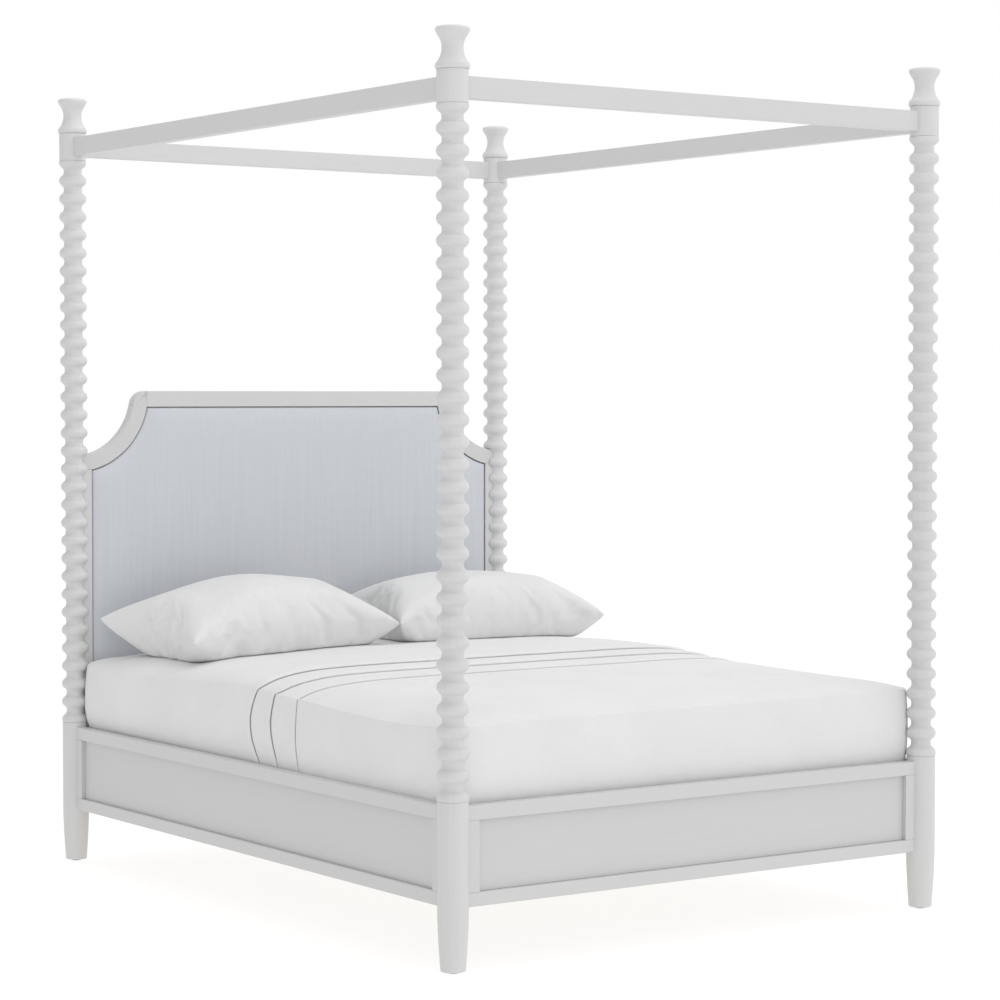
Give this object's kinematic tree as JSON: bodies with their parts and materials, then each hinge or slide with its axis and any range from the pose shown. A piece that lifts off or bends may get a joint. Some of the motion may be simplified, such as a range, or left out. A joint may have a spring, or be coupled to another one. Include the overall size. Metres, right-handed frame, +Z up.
{
  "type": "four poster canopy bed",
  "caption": "Queen four poster canopy bed with bobbin-turned posts, an upholstered headboard with scooped shoulders, panelled rails, a mattress, layered covers and pillows.",
  "frame": {"origin": "on the floor, under the middle of the bed's overall box", "axes": "+Z up, +Y from the foot of the bed towards the headboard, +X to the right when facing the headboard from the foot"},
  "size_m": [1.6674, 2.1834, 2.349],
  "materials": {
    "painted_wood": "satin light warm grey paint over turned and planed hardwood",
    "headboard_silk": "pale blue-grey slubbed silk-linen upholstery with a soft sheen",
    "bed_linen": "washed white cotton percale, matte",
    "pillow_cotton": "washed white cotton pillowcase, matte",
    "mattress_ticking": "off-white knitted mattress ticking",
    "slat_pine": "bare planed pine",
    "nylon": "dark grey moulded nylon"
  },
  "bodies": {
    "bed_frame": {"glide_foot_left": "nylon", "leg_foot_left": "painted_wood", "spindle_foot_left": "painted_wood", "canopy_block_foot_left": "painted_wood", "finial_foot_left": "painted_wood", "glide_foot_right": "nylon", "leg_foot_right": "painted_wood", "spindle_foot_right": "painted_wood", "canopy_block_foot_right": "painted_wood", "finial_foot_right": "painted_wood", "glide_head_left": "nylon", "leg_head_left": "painted_wood", "spindle_head_left": "painted_wood", "canopy_block_head_left": "painted_wood", "finial_head_left": "painted_wood", "glide_head_right": "nylon", "leg_head_right": "painted_wood", "spindle_head_right": "painted_wood", "canopy_block_head_right": "painted_wood", "finial_head_right": "painted_wood", "canopy_rail_left": "painted_wood", "canopy_rail_right": "painted_wood", "canopy_rail_foot": "painted_wood", "canopy_rail_head": "painted_wood", "side_rail_left_top": "painted_wood", "side_rail_left_bottom": "painted_wood", "side_stile_left_foot": "painted_wood", "side_stile_left_head": "painted_wood", "side_panel_left": "painted_wood", "footboard_stile_left": "painted_wood", "headboard_shoulder_left": "painted_wood", "headboard_stile_left": "painted_wood", "slat_cleat_left": "slat_pine", "side_rail_right_top": "painted_wood", "side_rail_right_bottom": "painted_wood", "side_stile_right_foot": "painted_wood", "side_stile_right_head": "painted_wood", "side_panel_right": "painted_wood", "footboard_stile_right": "painted_wood", "headboard_shoulder_right": "painted_wood", "headboard_stile_right": "painted_wood", "slat_cleat_right": "slat_pine", "footboard_top_rail": "painted_wood", "footboard_bottom_rail": "painted_wood", "footboard_panel": "painted_wood", "headboard_crest_rail": "painted_wood", "headboard_bottom_rail": "painted_wood", "headboard_back_panel": "painted_wood", "headboard_pad": "headboard_silk", "slat_roll": "slat_pine", "centre_beam": "slat_pine", "centre_leg_foot": "slat_pine", "centre_leg_head": "slat_pine"},
    "mattress": {"mattress": "mattress_ticking", "fitted_sheet": "bed_linen", "flat_sheet": "bed_linen", "blanket": "bed_linen", "coverlet": "bed_linen"},
    "pillow_left": {"pillow_left": "pillow_cotton"},
    "pillow_right": {"pillow_right": "pillow_cotton"}
  },
  "joints": [
    {"name": "mattress_lift", "type": "slide", "parent": "bed_frame", "child": "mattress", "axis": [0, 0, 1], "range_m": [0, 0.3]},
    {"name": "pillow_left_lift", "type": "slide", "parent": "mattress", "child": "pillow_left", "axis": [0, 0, 1], "range_m": [0, 0.35]},
    {"name": "pillow_right_lift", "type": "slide", "parent": "mattress", "child": "pillow_right", "axis": [0, 0, 1], "range_m": [0, 0.35]}
  ]
}
